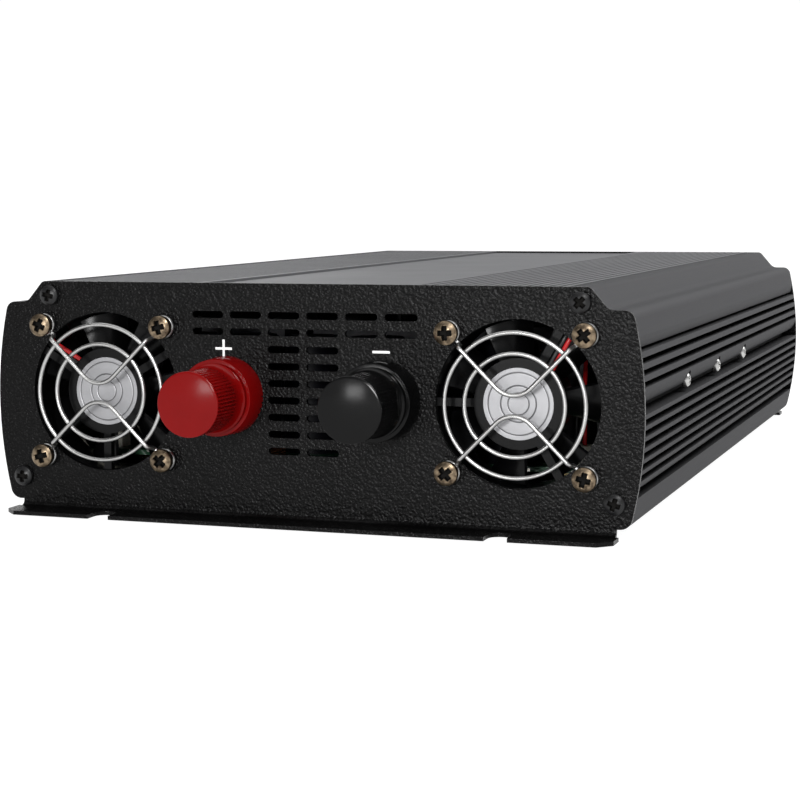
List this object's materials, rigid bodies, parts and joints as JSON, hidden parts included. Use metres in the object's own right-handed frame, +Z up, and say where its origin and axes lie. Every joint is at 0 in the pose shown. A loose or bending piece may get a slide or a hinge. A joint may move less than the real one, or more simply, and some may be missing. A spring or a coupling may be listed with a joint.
{
  "type": "power inverter",
  "caption": "Finned aluminium power inverter case with guarded cooling fans and large screw-cap battery terminals on one end, mains outlets and switch on the other",
  "frame": {"origin": "centre of the four mounting notches, on the plane that the mounting flanges stand on", "axes": "+Y from the end with the fans and battery terminals to the end with the outlets, +Z up, +X to the right seen from the fan end"},
  "size_m": [0.2018, 0.36, 0.0704],
  "materials": {
    "anodised_side": "black satin anodised extrusion",
    "anodised_cover": "black satin anodised extrusion",
    "powder_coat": "black fine-texture powder coat",
    "galvanised_sheet": "zinc-coated sheet",
    "black_steel": "black oxide screws",
    "bright_steel": "bright zinc plating",
    "bronzed_steel": "antique bronze plating",
    "dark_steel": "dark spring steel",
    "guard_wire": "bright nickel-plated wire",
    "fan_plastic": "gloss black moulding",
    "label_foil": "bright embossed foil",
    "terminal_red": "gloss red moulding",
    "terminal_black": "gloss black moulding",
    "brass": "turned brass",
    "copper": "bare or enamelled copper",
    "insulator": "red-brown insulating board",
    "circuit_board": "green solder mask",
    "capacitor_sleeve": "shrunk plastic sleeve",
    "ferrite": "sintered ferrite",
    "transistor_body": "moulded epoxy",
    "fuse_plastic": "tinted fuse body",
    "lead_red": "red insulated lead",
    "lead_black": "black insulated lead",
    "connector_plastic": "white connector housing",
    "outlet_plastic": "black outlet moulding",
    "switch_plastic": "black switch moulding",
    "rocker_plastic": "red rocker",
    "lamp_lens": "tinted lens"
  },
  "bodies": {
    "case": {"left_side_extrusion": "anodised_side", "right_side_extrusion": "anodised_side", "top_cover": "anodised_cover", "bottom_cover": "galvanised_sheet", "front_plate": "powder_coat", "rear_plate": "powder_coat", "front_plate_screws": "black_steel", "rear_plate_screws": "black_steel", "side_clamp_screws": "bright_steel", "left_fan_frame": "fan_plastic", "right_fan_frame": "fan_plastic", "left_fan_guard": "guard_wire", "right_fan_guard": "guard_wire", "fan_bearings": "brass", "fan_stators": "dark_steel", "fan_labels": "label_foil", "fan_screws": "bronzed_steel", "fan_lock_washers": "dark_steel", "fan_nuts": "bright_steel", "fan_leads_black": "lead_black", "fan_leads_red": "lead_red", "fan_connectors": "connector_plastic", "positive_terminal_base": "terminal_red", "negative_terminal_base": "terminal_black", "positive_terminal_stud": "brass", "negative_terminal_stud": "brass", "terminal_insulators": "insulator", "terminal_nuts": "bright_steel", "positive_bus_bar": "copper", "negative_bus_bar": "copper", "main_board": "circuit_board", "board_screws": "bright_steel", "board_standoffs": "brass", "input_capacitors": "capacitor_sleeve", "bus_capacitors": "capacitor_sleeve", "transformer_cores": "ferrite", "transformer_windings": "copper", "output_inductor_core": "ferrite", "output_inductor_windings": "copper", "power_transistors": "transistor_body", "transistor_clamp_bars": "bright_steel", "control_board": "circuit_board", "fuses": "fuse_plastic", "outlets": "outlet_plastic", "power_switch_housing": "switch_plastic", "usb_port": "bright_steel", "indicator_lamps": "lamp_lens", "ground_stud": "brass", "ground_nuts": "brass"},
    "left_rotor": {"left_fan_rotor": "fan_plastic"},
    "right_rotor": {"right_fan_rotor": "fan_plastic"},
    "positive_washer": {"positive_clamp_washer": "brass"},
    "positive_cap": {"positive_terminal_cap": "terminal_red", "positive_cap_insert": "brass"},
    "negative_washer": {"negative_clamp_washer": "brass"},
    "negative_cap": {"negative_terminal_cap": "terminal_black", "negative_cap_insert": "brass"},
    "rocker": {"power_switch_rocker": "rocker_plastic"}
  },
  "joints": [
    {"name": "left_fan_spin", "type": "hinge", "parent": "case", "child": "left_rotor", "pos_m": [-0.0646, -0.15, 0.0371], "axis": [0, 1, 0], "continuous": true},
    {"name": "right_fan_spin", "type": "hinge", "parent": "case", "child": "right_rotor", "pos_m": [0.0646, -0.15, 0.0371], "axis": [0, 1, 0], "continuous": true},
    {"name": "positive_cap_travel", "type": "slide", "parent": "case", "child": "positive_washer", "axis": [0, -1, 0], "range_m": [0, 0.0101]},
    {"name": "positive_cap_turn", "type": "hinge", "parent": "positive_washer", "child": "positive_cap", "pos_m": [-0.0244, -0.17, 0.0371], "axis": [0, -1, 0], "range_deg": [0, 2880]},
    {"name": "negative_cap_travel", "type": "slide", "parent": "case", "child": "negative_washer", "axis": [0, -1, 0], "range_m": [0, 0.0101]},
    {"name": "negative_cap_turn", "type": "hinge", "parent": "negative_washer", "child": "negative_cap", "pos_m": [0.0244, -0.17, 0.0371], "axis": [0, -1, 0], "range_deg": [0, 2880]},
    {"name": "power_switch", "type": "hinge", "parent": "case", "child": "rocker", "pos_m": [-0.07791, 0.159, 0.036], "axis": [1, 0, 0], "range_deg": [0, 22]}
  ],
  "couplings": [
    {"joint": "positive_cap_travel", "follows": "positive_cap_turn", "m_per_rad": 0.00019894},
    {"joint": "negative_cap_travel", "follows": "negative_cap_turn", "m_per_rad": 0.00019894}
  ]
}
